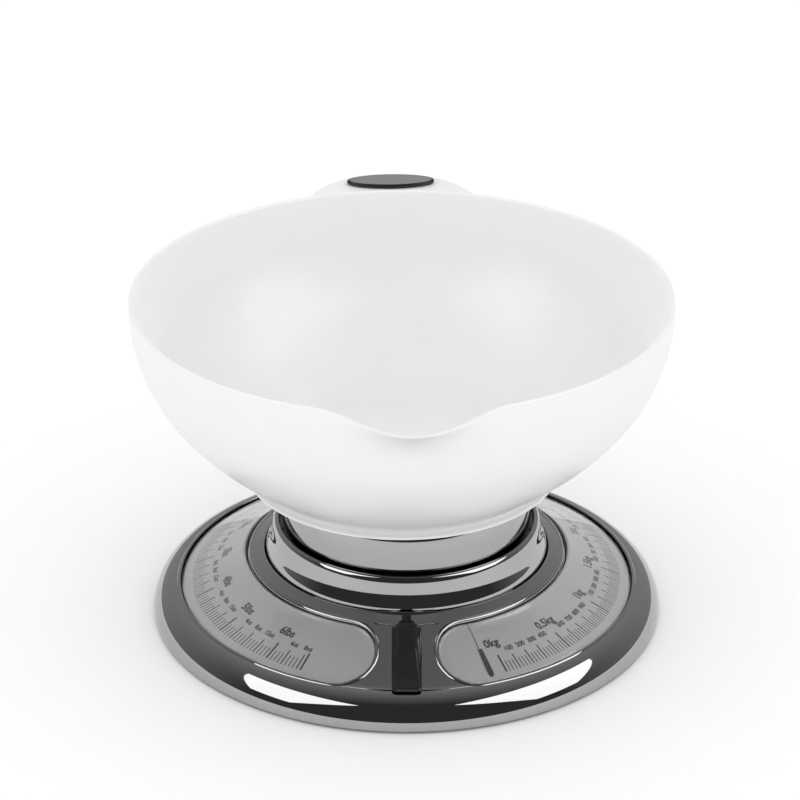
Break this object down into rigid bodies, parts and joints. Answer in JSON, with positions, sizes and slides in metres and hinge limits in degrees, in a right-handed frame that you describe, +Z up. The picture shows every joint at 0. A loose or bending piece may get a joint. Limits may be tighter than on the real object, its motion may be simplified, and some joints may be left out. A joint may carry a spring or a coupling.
{
  "type": "mechanical kitchen scale",
  "caption": "Mechanical kitchen scale with a chrome base, a conical dial under clear windows, a zero lever and a lift-off bowl with a lip and a handle.",
  "frame": {"origin": "centre of the sole face under the base, on the column axis", "axes": "+Z up along the column axis, -Y towards the zero lever and the bowl's pouring lip, +X to the right seen from the front"},
  "size_m": [0.2398, 0.2797, 0.1549],
  "materials": {
    "chrome": "bright chrome plate",
    "plated_steel": "zinc plated",
    "spring_steel": "drawn wire",
    "brass": "turned",
    "silver_dial": "satin silver print ground",
    "black_plastic": "gloss black",
    "grey_plastic": "moulded",
    "rubber": "matte",
    "grip_rubber": "soft matte top",
    "clear_window": "clear, polished",
    "pale_bowl": "pale translucent, polished"
  },
  "bodies": {
    "base": {"base_shell": "chrome", "bottom_pan": "grey_plastic", "foot_1": "rubber", "foot_2": "rubber", "foot_3": "rubber", "foot_4": "rubber", "pan_screw_1": "plated_steel", "pan_screw_2": "plated_steel", "pan_screw_3": "plated_steel", "pan_screw_4": "plated_steel", "column_collar": "chrome", "chassis_plate": "plated_steel", "chassis_screw_1": "plated_steel", "chassis_screw_2": "plated_steel", "chassis_screw_3": "plated_steel", "chassis_screw_4": "plated_steel", "left_window": "clear_window", "right_window": "clear_window", "frame_upright": "plated_steel", "lower_rear_pin": "plated_steel", "upper_rear_pin": "plated_steel", "spindle_bush": "brass", "spindle_bridge": "plated_steel", "crank_bracket": "plated_steel", "crank_pin": "plated_steel", "rack_guide": "grey_plastic", "spring_post": "plated_steel", "backlash_spring": "spring_steel", "main_spring_left": "spring_steel", "main_spring_right": "spring_steel"},
    "zero_dial": {"dial_ring": "silver_dial", "zero_lever": "black_plastic"},
    "weighing_platform": {"platform": "chrome", "carrier_bracket": "plated_steel", "lower_front_pin": "plated_steel", "upper_front_pin": "plated_steel", "push_bracket": "plated_steel"},
    "guide_arm_upper": {"upper_arm": "plated_steel"},
    "guide_arm_lower": {"lower_arm": "plated_steel"},
    "crank": {"bell_crank": "plated_steel"},
    "rack_bar": {"rack": "plated_steel"},
    "pointer_spindle": {"spindle": "plated_steel", "pinion": "brass", "pointer_hub": "brass", "pointer": "black_plastic"},
    "lift_off_bowl": {"bowl": "pale_bowl", "handle_grip": "grip_rubber"}
  },
  "joints": [
    {"name": "platform_slide", "type": "slide", "parent": "base", "child": "weighing_platform", "axis": [0, 0, -1], "range_m": [0, 0.0093], "stiffness_N_per_m": 3164, "springref_m": -0.003, "deforming": ["main_spring_left", "main_spring_right"]},
    {"name": "bowl_lift", "type": "slide", "parent": "weighing_platform", "child": "lift_off_bowl", "axis": [0, 0, 1], "range_m": [0, 0.08]},
    {"name": "zero_turn", "type": "hinge", "parent": "base", "child": "zero_dial", "pos_m": [0, 0, 0.02], "axis": [0, 0, 1], "range_deg": [-4.5, 4.5]},
    {"name": "pointer_turn", "type": "hinge", "parent": "base", "child": "pointer_spindle", "pos_m": [0, 0, 0.028], "axis": [0, 0, 1], "range_deg": [0, 135]},
    {"name": "rack_slide", "type": "slide", "parent": "base", "child": "rack_bar", "axis": [0, 1, 0], "range_m": [0, 0.0099], "deforming": ["backlash_spring"]},
    {"name": "crank_turn", "type": "hinge", "parent": "base", "child": "crank", "pos_m": [0.0096, 0.018, 0.0515], "axis": [1, 0, 0], "range_deg": [0, 36]},
    {"name": "upper_arm_turn", "type": "hinge", "parent": "base", "child": "guide_arm_upper", "pos_m": [0, 0.042, 0.0525], "axis": [1, 0, 0], "range_deg": [0, 7.2]},
    {"name": "lower_arm_turn", "type": "hinge", "parent": "base", "child": "guide_arm_lower", "pos_m": [0, 0.042, 0.04], "axis": [1, 0, 0], "range_deg": [0, 7.2]}
  ],
  "couplings": [
    {"joint": "pointer_turn", "follows": "platform_slide", "rad_per_m": 244.53},
    {"joint": "rack_slide", "follows": "platform_slide", "ratio": 1},
    {"joint": "crank_turn", "follows": "platform_slide", "rad_per_m": 63.415},
    {"joint": "upper_arm_turn", "follows": "platform_slide", "rad_per_m": 12.507},
    {"joint": "lower_arm_turn", "follows": "platform_slide", "rad_per_m": 12.507}
  ]
}
